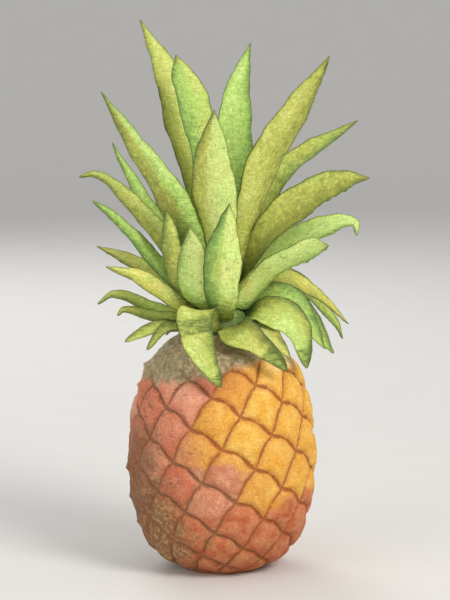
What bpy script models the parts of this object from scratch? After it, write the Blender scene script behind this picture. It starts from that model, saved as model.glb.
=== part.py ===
"""A pineapple standing on its cut base.

The fruit is one grown body with spiral rows of eyes. Its cut stem sits flush in its base.
The crown stands on its top. It is a short stem with the young leaves at its tip, and round
that one solid for each leaf, rooted in a golden-angle spiral with the innermost leaf highest.

Lengths are millimetres until they reach Blender. The axis of the fruit is Z, the front is -Y,
and angles run from +X towards +Y, so 270 degrees faces the front.
"""

import bisect
import math
import random

import bmesh
import bpy
from mathutils import Vector

MM = 0.001
GAP = 0.3
MERGE_DISTANCE = 0.01
CURVE_STEPS = 24

# The spiral that eyes and leaves both follow
GOLDEN_ANGLE = 180 * (3 - math.sqrt(5))
FLAT_ROWS = 8
STEEP_ROWS = 13
FLAT_STEP = FLAT_ROWS * GOLDEN_ANGLE - 3 * 360
STEEP_STEP = STEEP_ROWS * GOLDEN_ANGLE - 5 * 360

# Fruit: radius and height of the skin's seams, up the side from under the base to under the crown
FRUIT_TOP = 163.0
FRUIT_SIDE = [
    (8, -8), (17, -6), (27, 0.5), (38, 7), (47, 15), (54, 26), (58.5, 39), (61.5, 54), (62.8, 70),
    (62.8, 86), (61.4, 102), (58.6, 117), (54, 131), (47.5, 144), (39, 154), (29, 160.8), (18, 166), (8, 170),
]
FRUIT_WIDEST = 62.8
SIDE_SAMPLES = 240

# Eyes: how far one leads the next down the side where the fruit is widest, and how they rise
EYE_PITCH = 1.7
EYE_PITCH_SHRINK = 0.4
EYE_START_ANGLE = 1.0
FIRST_EYE = 6.0
EYE_EDGES = (-0.5, -0.33, 0.0, 0.33)
EYE_HEIGHT = 3.0
EYE_SQUARENESS = 3.6
SEAM_DEPTH = 1.2
BRACT_HEIGHT = 0.7
BRACT_REACH = 0.17
EYES_FLAT_BELOW_RADIUS = 24.0
EYES_FULL_ABOVE_RADIUS = 46.0

# Cut stem, flush with the base
CUT_STEM_RADIUS = 13.0
CUT_STEM_HEIGHT = 14.0
CUT_STEM_SIDES = 28

# Crown stem, a blunt cone on the fruit's top
CROWN_STEM_HEIGHT = 34.0
CROWN_STEM_BOTTOM_RADIUS = 21.0
CROWN_STEM_TOP_RADIUS = 4.0
CROWN_STEM_SIDES = 24
BUD_RADIUS = 3.0
BUD_TIP_RADIUS = 0.7
BUD_SHOULDER = 2.0
BUD_HEIGHT = 26.0

# Young leaves at the bud: each next one starts lower and opens wider
YOUNG_LEAVES = 5
YOUNG_LEAF_LENGTH = 38.0
YOUNG_LEAF_WIDTH = 5.5
YOUNG_LEAF_WIDEST_AT = 0.3
YOUNG_LEAF_THICKNESS = 1.4
YOUNG_LEAF_SINK = 3.0
YOUNG_LEAF_SPREAD = 4.0

# Leaves: the spiral's places count from the innermost, at the top of the stem
LEAF_PLACES = 51
FIRST_LEAF_ANGLE = 222.0
HIGHEST_ROOT = 30.8
LOWEST_ROOT = 1.8
ROOT_CLEARANCE = 1.4
ROOT_WRAP = math.radians(36)
ROOT_WIDTH_SHARE = 0.45
# These leaves are narrower at the root than the share above
NARROWER_ROOTS = {
    "front_droop": 0.2,
    "front_right": 0.3,
    "right_low": 0.25,
    "right_fan_back": 0.3,
    "right_fan_bright": 0.35,
    "right_fan_teal": 0.3,
    "right_fan_inner": 0.28,
}
LEAF_THICKNESS = 1.1
TIP_HALF_WIDTH = 0.5
TIP_BLUNTNESS = 1.7
# Pieces that a blade is made of, along it and across it, where its width is above the key
BLADE_PIECES = {16: (9, 4), 8: (8, 2), 0: (5, 2)}
TURN_STARTS = 0.1
TURN_ENDS = 0.6
LEAST_SLOPE = 0.15

# Leaves that show from the front. Each row: name, place in the spiral, degrees that the blade
# turns about its length once it is clear of the stem, widest width, share of the length where
# it is widest, green against olive from 0 to 1, and the points x, y, z that its midline passes
# after its root.
FRONT_LEAVES = [
    ("back_left_tall", 7, -5, 26, 0.4, 0.3, [(-17, 37, 262), (-28, 56, 298), (-40, 70, 337), (-58, 82, 373)]),
    ("front_tall", 8, 0, 34, 0.5, 0.3, [(-6, -22, 248), (-7, -30, 276), (-5, -43, 315)]),
    ("back_right_tall", 4, 10, 29, 0.5, 0.8, [(7, 32, 270), (11, 56, 325), (20, 69, 357)]),
    ("right_tall", 6, -35, 33, 0.52, 0.2, [(27, -6, 267), (44, -15, 302), (71, -31, 350)]),
    ("back_left_broad", 2, -10, 26, 0.7, 0.7, [(-12, 10, 262), (-18, 22, 306), (-32, 47, 349)]),
    ("right_upper", 9, 30, 20, 0.6, 0.4, [(37, 21, 264), (57, 31, 281), (94, 43, 304)]),
    ("left_tall", 13, 40, 25, 0.4, 0.6, [(-31, -18, 247), (-57, -24, 289), (-80, -26, 326)]),
    ("right_mid", 14, 58, 30, 0.52, 0.15, [(28, -13, 227), (57, -20, 254), (82, -24, 267), (98, -27, 269)]),
    ("left_mid", 18, -50, 17, 0.4, 0.3, [(-46, 3, 232), (-75, 6, 263), (-87, 8, 269), (-97, 10, 267)]),
    ("front_left", 21, 40, 13, 0.5, 0.3, [(-29, -18, 198), (-33, -23, 216), (-37, -29, 248)]),
    ("right_hook", 22, 60, 20, 0.45, 1.0, [(43, 5, 219), (78, 10, 236), (90, 11, 236), (92, 11, 227)]),
    ("left_thin", 23, -45, 14, 0.4, 0.9, [(-46, 28, 236), (-71, 36, 279), (-76, 38, 289)]),
    ("left_green", 26, -50, 14, 0.35, 1.0, [(-41, 2, 205), (-70, -3, 238), (-87, -7, 252)]),
    ("right_curl", 27, -40, 18, 0.78, 0.7, [(29, -13, 202), (57, -22, 219), (71, -24, 224)]),
    ("front_centre", 29, 0, 25, 0.4, 0.4, [(-16, -26, 188), (-19, -34, 213), (-21, -42, 238)]),
    ("right_fan_top", 30, 40, 16, 0.5, 0.1, [(35, 17, 197), (64, 28, 185), (88, 33, 163)]),
    ("left_low_upper", 31, -50, 15, 0.4, 0.1, [(-46, 12, 200), (-60, 14, 208), (-86, 18, 219)]),
    ("left_low_lower", 34, -55, 17, 0.4, 0.2, [(-27, -17, 180), (-54, -16, 200), (-78, -20, 209)]),
    ("right_fan_bright", 35, 35, 21, 0.5, 1.0, [(26, 1, 185), (45, 1, 184), (70, -3, 151)]),
    ("front_right", 37, 0, 28, 0.5, 0.6, [(0, -35, 185), (0, -44, 210), (5, -50, 254)]),
    ("right_fan_back", 38, 55, 18, 0.4, 0.5, [(48, 45, 191), (79, 53, 162), (85, 55, 150)]),
    ("left_hook_lower", 39, -45, 11, 0.4, 0.4, [(-41, -4, 172), (-66, -6, 178), (-71, -6, 174)]),
    ("right_fan_inner", 48, 10, 15, 0.4, 0.2, [(27, -13, 169), (38, -21, 166), (46, -30, 150)]),
    ("left_droop_front", 42, -30, 10, 0.4, 0.3, [(-25, -21, 168), (-38, -28, 168), (-50, -36, 155)]),
    ("right_fan_teal", 43, 45, 20, 0.45, 0.8, [(29, 8, 179), (50, 12, 178), (77, 18, 145)]),
    ("left_hook_upper", 44, -45, 11, 0.4, 0.5, [(-42, 16, 174), (-74, 24, 185), (-86, 26, 178)]),
    ("right_low", 45, 12, 22, 0.4, 0.4, [(11, -39, 167), (22, -47, 162), (34, -51, 153), (43, -50, 143)]),
    ("left_droop", 47, -40, 12, 0.4, 0.3, [(-32, -14, 167), (-44, -19, 168), (-65, -26, 159)]),
    ("right_fan_front", 40, 30, 25, 0.45, 0.5, [(28, -17, 178), (50, -22, 168), (57, -26, 141)]),
    ("front_droop", 50, 0, 28, 0.45, 0.4, [(-13, -38, 181), (-17, -50, 179), (-14, -57, 160), (-1, -63, 134)]),
]

# Leaves that follow a rule: behind the crown, and short ones deep inside it. The further out
# a leaf's place, the shorter and narrower it is, and the more it leans and curls outwards.
# Each kind: places, length and width at the innermost place
RULE_LEAVES = {
    "back": ((15, 17, 20, 25, 28, 33, 36, 41, 46, 49), 98.0, 23.0),
    "inner": ((16, 19), 41.0, 13.0),
}
SHORTER_EACH_PLACE = 0.5
NARROWER_EACH_PLACE = 0.25
RULE_WIDEST_AT = 0.42
LEAN_RANGE = (4, 76)
CURL_RANGE = (14, 64)
CURL_SPREAD = 6.0
FARTHEST_SIDEWAYS = 40.0
RULE_SEED = 7

# Leaves take the olive or the bright green where their value is past these
OLIVE_BELOW = 0.25
BRIGHT_ABOVE = 0.65
LEAF_ROUGHNESS = 0.5
SKIN_ROUGHNESS = 0.62

COLOURS = {
    "fruit_skin": (0.80, 0.36, 0.10),
    "cut_stem": (0.62, 0.50, 0.30),
    "crown_heart": (0.55, 0.66, 0.22),
    "leaf_olive": (0.47, 0.50, 0.12),
    "leaf_lime": (0.42, 0.56, 0.13),
    "leaf_green": (0.25, 0.50, 0.12),
}


def clear_scene():
    for obj in list(bpy.data.objects):
        bpy.data.objects.remove(obj)


def make_collection(name):
    made = bpy.data.collections.new(name)
    bpy.context.scene.collection.children.link(made)
    return made


def make_material(name, roughness):
    material = bpy.data.materials.new(name)
    material.use_nodes = True
    shader = material.node_tree.nodes["Principled BSDF"]
    shader.inputs["Base Color"].default_value = (*COLOURS[name], 1)
    shader.inputs["Roughness"].default_value = roughness
    shader.inputs["Metallic"].default_value = 0
    return material


def make_object(name, bm, collection, material=None):
    """Turns a bmesh in millimetres into an object of the collection."""
    bmesh.ops.scale(bm, vec=(MM, MM, MM), verts=bm.verts)
    mesh = bpy.data.meshes.new(name)
    bm.to_mesh(mesh)
    bm.free()
    mesh.shade_smooth()
    obj = bpy.data.objects.new(name, mesh)
    collection.objects.link(obj)
    if material:
        mesh.materials.append(material)
    return obj


def hide_as_guide(obj):
    """Keeps an object that others are cut or joined with out of the finished part."""
    obj.hide_render = True
    obj.display_type = "WIRE"


def add_boolean(obj, operation, **operand):
    boolean = obj.modifiers.new(operation.lower(), "BOOLEAN")
    boolean.operation = operation
    boolean.solver = "EXACT"
    for setting, value in operand.items():
        setattr(boolean, setting, value)


def cylinder(radius, height, sides, middle=0.0):
    bm = bmesh.new()
    bmesh.ops.create_cone(
        bm, cap_ends=True, segments=sides, radius1=radius, radius2=radius, depth=height
    )
    bmesh.ops.translate(bm, vec=(0, 0, middle), verts=bm.verts)
    return bm


def on_ray(angle, radius, height):
    return Vector((radius * math.cos(angle), radius * math.sin(angle), height))


def smooth_step(low, high, value):
    share = min(1.0, max(0.0, (value - low) / (high - low)))
    return share * share * (3 - 2 * share)


def smooth_curve(points, count):
    """That many points, evenly spaced, on a smooth curve through the points given."""
    points = [Vector(p) for p in points]
    ends = [2 * points[0] - points[1], *points, 2 * points[-1] - points[-2]]
    fine = []
    for before, start, end, after in zip(ends, ends[1:], ends[2:], ends[3:]):
        span = (end - start).length
        leave = (end - before) * span / (span + (start - before).length)
        arrive = (after - start) * span / (span + (after - end).length)
        for step in range(CURVE_STEPS):
            t = step / CURVE_STEPS
            fine.append(
                start * (1 + 2 * t) * (1 - t) ** 2
                + end * t * t * (3 - 2 * t)
                + leave * t * (1 - t) ** 2
                - arrive * t * t * (1 - t)
            )
    fine.append(points[-1])
    return resample(fine, count)


def resample(fine, count):
    """The same line as count points, evenly spaced along it."""
    lengths = [0.0]
    for a, b in zip(fine, fine[1:]):
        lengths.append(lengths[-1] + (b - a).length)
    made = []
    for i in range(count):
        wanted = lengths[-1] * i / (count - 1)
        j = min(len(fine) - 2, max(0, bisect.bisect_right(lengths, wanted) - 1))
        share = (wanted - lengths[j]) / (lengths[j + 1] - lengths[j])
        made.append(fine[j].lerp(fine[j + 1], share))
    return made


class FruitSide:
    """The fruit's outline from top to bottom, measured in eyes passed on the way down."""

    def __init__(self):
        self.points = smooth_curve(reversed(FRUIT_SIDE), SIDE_SAMPLES)
        self.eyes = [FIRST_EYE]
        for a, b in zip(self.points, self.points[1:]):
            radius = (a.x + b.x) / 2
            pitch = EYE_PITCH * (radius / FRUIT_WIDEST) ** EYE_PITCH_SHRINK
            self.eyes.append(self.eyes[-1] + (b - a).length / pitch)

    def at(self, eye):
        """Radius and height there, and the outward direction."""
        i = min(len(self.eyes) - 2, max(0, bisect.bisect_right(self.eyes, eye) - 1))
        a, b = self.points[i], self.points[i + 1]
        share = (eye - self.eyes[i]) / (self.eyes[i + 1] - self.eyes[i])
        along = (b - a).normalized()
        return a.lerp(b, share), Vector((-along.y, along.x))


def eye_relief(across, down, radius):
    """How far the skin stands out at a place in an eye, whose edges are at 0.5 each way."""
    pillow = (1 - abs(2 * across) ** EYE_SQUARENESS) * (1 - abs(2 * down) ** EYE_SQUARENESS)
    bract = max(0.0, 1 - math.hypot(across, down) / BRACT_REACH)
    strength = smooth_step(EYES_FLAT_BELOW_RADIUS, EYES_FULL_ABOVE_RADIUS, radius)
    return strength * (EYE_HEIGHT * pillow + BRACT_HEIGHT * bract - SEAM_DEPTH)


def wrap_skin():
    """One sheet, ruled along the two families of seams, wrapped round and joined to itself."""
    side = FruitSide()
    per_eye = len(EYE_EDGES)
    columns = STEEP_ROWS * per_eye
    first_row = -(FLAT_ROWS + 1) * per_eye
    rows = int(side.eyes[-1] / STEEP_ROWS + 2) * per_eye - first_row
    bm = bmesh.new()
    bmesh.ops.create_grid(bm, x_segments=columns, y_segments=rows, size=1)
    beyond = []
    for vert in bm.verts:
        column = round((vert.co.x + 1) / 2 * columns)
        row = round((vert.co.y + 1) / 2 * rows) + first_row
        across, down = EYE_EDGES[column % per_eye], EYE_EDGES[row % per_eye]
        a, b = column // per_eye + across, row // per_eye + down
        eye = FLAT_ROWS * a + STEEP_ROWS * b
        if not FIRST_EYE <= eye <= side.eyes[-1]:
            beyond.append(vert)
            continue
        place, out = side.at(eye)
        place = place + out * eye_relief(across, down, place.x)
        angle = math.radians(EYE_START_ANGLE + FLAT_STEP * a + STEEP_STEP * b)
        vert.co = on_ray(angle, place.x, place.y)
    bmesh.ops.delete(bm, geom=beyond, context="VERTS")
    bmesh.ops.remove_doubles(bm, verts=bm.verts, dist=MERGE_DISTANCE)
    return bm


def cut_flat(bm, height, outward):
    """Cuts off what is past a height, and closes the cut with a flat face."""
    bmesh.ops.bisect_plane(
        bm,
        geom=[*bm.verts, *bm.edges, *bm.faces],
        plane_co=(0, 0, height),
        plane_no=(0, 0, outward),
        clear_outer=True,
    )
    rim = [
        edge
        for edge in bm.edges
        if edge.is_boundary and abs(edge.verts[0].co.z - height) < MERGE_DISTANCE
    ]
    bmesh.ops.holes_fill(bm, edges=rim, sides=0)


def make_fruit(collection, cutters, material):
    bm = wrap_skin()
    cut_flat(bm, 0.0, -1)
    cut_flat(bm, FRUIT_TOP, 1)
    bmesh.ops.recalc_face_normals(bm, faces=bm.faces)
    fruit = make_object("fruit", bm, collection, material)
    bm = cylinder(CUT_STEM_RADIUS + GAP, 2 * (CUT_STEM_HEIGHT + GAP), CUT_STEM_SIDES)
    socket = make_object("cut_stem_socket", bm, cutters)
    hide_as_guide(socket)
    add_boolean(fruit, "DIFFERENCE", object=socket)


def make_cut_stem(collection, material):
    bm = cylinder(CUT_STEM_RADIUS, CUT_STEM_HEIGHT, CUT_STEM_SIDES, CUT_STEM_HEIGHT / 2)
    make_object("cut_stem", bm, collection, material)


def half_width(share, width, widest_at, root_half_width):
    """Half a blade's width at a share of its length: swelling from the root, then to a point."""
    if share < widest_at:
        return root_half_width + (width / 2 - root_half_width) * smooth_step(0, widest_at, share)
    past = (share - widest_at) / (1 - widest_at)
    return TIP_HALF_WIDTH + (width / 2 - TIP_HALF_WIDTH) * (1 - past**TIP_BLUNTNESS)


def blade_row(centre, along, twist, half, width):
    """A blade's cross-section at a point of its midline, as a function of -1 to 1 across it.

    Near the stem it curves round the axis, and further out it is a shallow channel.
    """
    sideways = Vector((-centre.y, centre.x, 0)).normalized()
    sideways = (sideways - sideways.dot(along) * along).normalized()
    inward = along.cross(sideways)
    sideways, inward = (
        sideways * math.cos(twist) + inward * math.sin(twist),
        inward * math.cos(twist) - sideways * math.sin(twist),
    )
    bend = min(centre.xy.length / max(LEAST_SLOPE, along.z), width)

    def point(across):
        sweep = half / bend * across
        return centre + bend * (sideways * math.sin(sweep) + inward * (1 - math.cos(sweep)))

    return point


def make_blade(name, collection, material, route, turn, width, widest_at, thickness, root_share):
    """A leaf: a grid laid along its route and thickened to both sides alike."""
    lengthwise, crosswise = next(
        pieces for above, pieces in BLADE_PIECES.items() if width > above
    )
    midline = smooth_curve(route, lengthwise + 1)
    root_half_width = min(root_share * width, ROOT_WRAP * midline[0].xy.length)
    rows = []
    for i, centre in enumerate(midline):
        share = i / lengthwise
        along = (midline[min(i + 1, lengthwise)] - midline[max(i - 1, 0)]).normalized()
        twist = math.radians(turn) * smooth_step(TURN_STARTS, TURN_ENDS, share)
        half = half_width(share, width, widest_at, root_half_width)
        rows.append(blade_row(centre, along, twist, half, width))
    bm = bmesh.new()
    bmesh.ops.create_grid(bm, x_segments=lengthwise, y_segments=crosswise, size=1)
    for vert in bm.verts:
        row = rows[round((vert.co.x + 1) / 2 * lengthwise)]
        vert.co = row(vert.co.y)
    bmesh.ops.triangulate(bm, faces=bm.faces)
    blade = make_object(name, bm, collection, material)
    solidify = blade.modifiers.new("thickness", "SOLIDIFY")
    solidify.thickness = thickness * MM
    solidify.offset = 0
    solidify.use_even_offset = False
    return blade


def leaf_root(place):
    """Angle of a place in the spiral, and the point where its leaf leaves the stem."""
    rise = HIGHEST_ROOT + (LOWEST_ROOT - HIGHEST_ROOT) * place / (LEAF_PLACES - 1)
    taper = (CROWN_STEM_BOTTOM_RADIUS - CROWN_STEM_TOP_RADIUS) / CROWN_STEM_HEIGHT
    radius = CROWN_STEM_BOTTOM_RADIUS - taper * rise + ROOT_CLEARANCE + LEAF_THICKNESS / 2
    angle = math.radians(FIRST_LEAF_ANGLE + GOLDEN_ANGLE * place)
    return angle, on_ray(angle, radius, FRUIT_TOP + GAP + rise)


def make_front_leaves(collection, materials):
    for name, place, turn, width, widest_at, green, points in FRONT_LEAVES:
        material = materials["leaf_lime"]
        if green < OLIVE_BELOW:
            material = materials["leaf_olive"]
        elif green > BRIGHT_ABOVE:
            material = materials["leaf_green"]
        route = [leaf_root(place)[1], *points]
        root_share = NARROWER_ROOTS.get(name, ROOT_WIDTH_SHARE)
        make_blade(
            f"leaf_{name}",
            collection,
            material,
            route,
            turn,
            width,
            widest_at,
            LEAF_THICKNESS,
            root_share,
        )


def rule_route(place, length, draw):
    """Midline of a leaf that follows the rule, kept short enough not to stick out sideways."""
    angle, root = leaf_root(place)
    share = place / (LEAF_PLACES - 1)
    lean = LEAN_RANGE[0] + (LEAN_RANGE[1] - LEAN_RANGE[0]) * share**1.5
    curl = CURL_RANGE[0] + (CURL_RANGE[1] - CURL_RANGE[0]) * share
    curl += draw.uniform(-CURL_SPREAD, CURL_SPREAD)
    headings = [math.radians(lean + curl / 4), math.radians(lean + curl * 3 / 4)]
    radius, height = root.xy.length, root.z
    outward = sum(math.sin(heading) for heading in headings) / 2
    farthest = FARTHEST_SIDEWAYS / abs(math.cos(angle))
    length = min(length, (farthest - radius) / outward)
    route = [root]
    for heading in headings:
        radius += length / 2 * math.sin(heading)
        height += length / 2 * math.cos(heading)
        route.append(on_ray(angle, radius, height))
    return route


def make_rule_leaves(collection, material):
    draw = random.Random(RULE_SEED)
    for kind, (places, length, width) in RULE_LEAVES.items():
        for count, place in enumerate(places, 1):
            route = rule_route(place, length - SHORTER_EACH_PLACE * place, draw)
            make_blade(
                f"leaf_{kind}_{count:02d}",
                collection,
                material,
                route,
                0,
                width - NARROWER_EACH_PLACE * place,
                RULE_WIDEST_AT,
                LEAF_THICKNESS,
                ROOT_WIDTH_SHARE,
            )


def make_crown_heart(collection, young_leaves, material):
    """The crown's stem with its bud, turned in one, and the young leaves joined to it."""
    base = FRUIT_TOP + GAP
    stem_top = base + CROWN_STEM_HEIGHT
    bud_top = stem_top + BUD_HEIGHT
    bm = bmesh.new()
    side = [
        (0, bud_top),
        (BUD_TIP_RADIUS, bud_top),
        (BUD_RADIUS, stem_top + BUD_SHOULDER),
        (CROWN_STEM_TOP_RADIUS, stem_top),
        (CROWN_STEM_BOTTOM_RADIUS, base),
        (0, base),
    ]
    corners = [bm.verts.new((radius, 0, height)) for radius, height in side]
    for upper, lower in zip(corners, corners[1:]):
        bm.edges.new((upper, lower))
    heart = make_object("crown_heart", bm, collection, material)
    screw = heart.modifiers.new("turned", "SCREW")
    screw.steps = CROWN_STEM_SIDES
    screw.render_steps = CROWN_STEM_SIDES
    screw.use_merge_vertices = True
    screw.merge_threshold = MERGE_DISTANCE * MM

    for count in range(YOUNG_LEAVES):
        angle = math.radians(FIRST_LEAF_ANGLE - GOLDEN_ANGLE * (count + 1))
        bottom = stem_top - YOUNG_LEAF_SINK - count
        spread = YOUNG_LEAF_SPREAD + count
        route = [
            on_ray(angle, BUD_RADIUS, bottom),
            on_ray(angle, BUD_RADIUS + spread / 3, bottom + YOUNG_LEAF_LENGTH / 2),
            on_ray(angle, BUD_RADIUS + spread, bottom + YOUNG_LEAF_LENGTH),
        ]
        blade = make_blade(
            f"young_leaf_{count}",
            young_leaves,
            material,
            route,
            0,
            YOUNG_LEAF_WIDTH,
            YOUNG_LEAF_WIDEST_AT,
            YOUNG_LEAF_THICKNESS,
            ROOT_WIDTH_SHARE,
        )
        hide_as_guide(blade)
    add_boolean(heart, "UNION", operand_type="COLLECTION", collection=young_leaves)


def main():
    clear_scene()
    parts = make_collection("pineapple")
    cutters = make_collection("cutters")
    young_leaves = make_collection("young_leaves")
    materials = {}
    for name in COLOURS:
        materials[name] = make_material(name, LEAF_ROUGHNESS if "leaf" in name else SKIN_ROUGHNESS)
    make_fruit(parts, cutters, materials["fruit_skin"])
    make_cut_stem(parts, materials["cut_stem"])
    make_crown_heart(parts, young_leaves, materials["crown_heart"])
    make_front_leaves(parts, materials)
    make_rule_leaves(parts, materials["leaf_lime"])


main()
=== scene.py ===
"""Looks of the pineapple: rind with raised eyes, leaves with veins, crown heart and cut stem.

The pineapple's lengths are millimetres, which make_piece turns into metres. Floor, lights and
camera are placed in metres. The fruit's axis is Z, the front is -Y, and angles run from +X towards
+Y. The shapes follow the same curves and rules as the solids, with finer relief on them.
"""

import math
import random

import bmesh
import bpy
import numpy as np
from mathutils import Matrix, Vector, noise


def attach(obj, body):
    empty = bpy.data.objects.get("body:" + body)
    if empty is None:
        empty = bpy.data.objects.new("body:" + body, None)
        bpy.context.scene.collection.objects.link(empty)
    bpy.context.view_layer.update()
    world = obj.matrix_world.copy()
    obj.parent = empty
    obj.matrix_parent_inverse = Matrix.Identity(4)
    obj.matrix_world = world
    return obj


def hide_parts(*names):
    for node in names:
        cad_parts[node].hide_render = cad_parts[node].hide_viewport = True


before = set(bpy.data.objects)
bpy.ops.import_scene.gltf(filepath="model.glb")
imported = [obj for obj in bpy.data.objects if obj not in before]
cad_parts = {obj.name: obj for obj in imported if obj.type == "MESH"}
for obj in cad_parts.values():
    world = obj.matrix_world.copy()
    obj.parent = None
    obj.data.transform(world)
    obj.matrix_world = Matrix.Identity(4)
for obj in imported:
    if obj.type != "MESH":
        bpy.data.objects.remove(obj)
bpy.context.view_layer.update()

MM = 0.001

# Between the top of the fruit and the crown
GAP = 0.3

# The spiral that eyes and leaves both follow
GOLDEN_ANGLE = 180 * (3 - math.sqrt(5))
FLAT_ROWS = 8
STEEP_ROWS = 13
FLAT_STEP = FLAT_ROWS * GOLDEN_ANGLE - 3 * 360
STEEP_STEP = STEEP_ROWS * GOLDEN_ANGLE - 5 * 360

# Fruit: radius and height of the skin's seams, up the side
FRUIT_TOP = 163.0
FRUIT_SIDE = [
    (8, -8), (17, -6), (27, 0.5), (38, 7), (47, 15), (54, 26), (58.5, 39), (61.5, 54), (62.8, 70),
    (62.8, 86), (61.4, 102), (58.6, 117), (54, 131), (47.5, 144), (39, 154), (29, 160.8), (18, 166),
    (8, 170),
]
FRUIT_WIDEST = 62.8
SIDE_SAMPLES = 240

# Eyes: how far down the side each next one of the spiral lies where the fruit is widest, how
# this shrinks with the radius, and the radii between which the eyes grow from flat to full
EYE_PITCH = 1.7
EYE_PITCH_SHRINK = 0.4
EYE_START_ANGLE = 1.0
FIRST_EYE = 6.0
NOISE_SEED = 1
EYES_FLAT_BELOW_RADIUS = 24.0
EYES_FULL_ABOVE_RADIUS = 46.0

# Fine skin: mesh pieces each way in an eye, the form of an eye, and the table of the eyes' tones
EYE_PIECES = 26
EYE_WIDTH = 26.0
EYE_WIDTH_SHRINK = 0.7
EYE_HEIGHT = 3.0
EYE_SQUARENESS = 3.6
TONE_SEED = 5
TONE_COUNT = 400

# Seams between eyes: how far they bow up, sink and drift, where down is counted in eyes passed
SEAM_BOW = 3.0
SEAM_DEPTH = 1.2
GROOVE_DEPTH = 0.5
FLAT_GROOVE_WIDTH = 1.1
STEEP_GROOVE_WIDTH = 0.9
STEEP_GROOVE_SHARE = 0.5
DRIFT_GRAIN = 30.0
DRIFT_DOWN = 0.9
DRIFT_SIDEWAYS = 1.6
DRIFT_LEAST_RADIUS = 12.0

# Bract tip in the middle of an eye: its reach in eyes, and its height, which is more on the left
BRACT_REACH = 0.17
BRACT_SHARPNESS = 1.3
BRACT_HEIGHT = 0.9
BRACT_MORE_ON_LEFT = 1.8
BRACT_LOW_SHARE = 0.45

# Roughness: its grain, its height, and how much higher it is on the dry shoulder
ROUGHNESS = [(3.2, 0.3, 0.5), (9.0, 0.5, 1.0)]
SHOULDER_FLATTENS = 0.8

# Stem of the crown
CROWN_STEM_HEIGHT = 34.0
CROWN_STEM_BOTTOM_RADIUS = 21.0
CROWN_STEM_TOP_RADIUS = 4.0
BUD_RADIUS = 3.0
BUD_TIP_RADIUS = 0.7
BUD_SHOULDER = 2.0
BUD_HEIGHT = 26.0
YOUNG_LEAVES = 5
YOUNG_LEAF_LENGTH = 38.0
YOUNG_LEAF_WIDTH = 5.5
YOUNG_LEAF_WIDEST_AT = 0.3
YOUNG_LEAF_THICKNESS = 1.0
YOUNG_LEAF_PIECES = (40, 12)
YOUNG_LEAF_SINK = 3.0
YOUNG_LEAF_SPREAD = 4.0

# Fine mesh of the heart, the scale-like leaf bases on its stem, and how its parts are coloured
HEART_RINGS = 91
HEART_AROUND = 96
SCALE_PITCH = 3.2
SCALE_HEIGHT = 0.8
SCALES_FADE_BELOW_RADIUS = 12.0
STEM_VALUES = {"share": 0.16, "across": 0.2, "edge": 3.0, "seed": 0.3}
HEART_VALUES = {"green": 0.6, "light": 0.2, "shade_half": 0.0, "warm": 0.0, "shaded": 0.6}

# Leaves
LEAF_PLACES = 51
FIRST_LEAF_ANGLE = 222.0
HIGHEST_ROOT = 30.8
LOWEST_ROOT = 1.8
ROOT_CLEARANCE = 1.4
ROOT_WRAP = math.radians(36)
ROOT_WIDTH_SHARE = 0.45
# These leaves are narrower at the root than the share above
NARROWER_ROOTS = {"front_droop": 0.2, "front_right": 0.3}
LEAF_THICKNESS = 1.1
EDGE_THICKNESS = 0.35
TIP_HALF_WIDTH = 0.5
TIP_BLUNTNESS = 1.7
# Shares of the length between which a leaf turns about its midline
TURN_STARTS = -0.3
TURN_ENDS = 0.4
LEAST_SLOPE = 0.15
LEAF_LENGTHWISE = 90
LEAF_ACROSS = 24

# Waves of a leaf's outline and ruffles: their lengths, and their height as a share of the length.
# Then its ribs, and the notches of a torn edge
WAVER_LENGTHS = (31.0, 13.0, 6.0)
WAVER_SHARE = 0.014
RUFFLE_LENGTHS = (47.0, 22.0)
RUFFLE_SHARE = 0.012
RIB_HEIGHT = 0.07
RIB_SPACING = 1.7
NOTCH_DEPTH = 2.5
LEAST_TORN = 0.15

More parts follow.
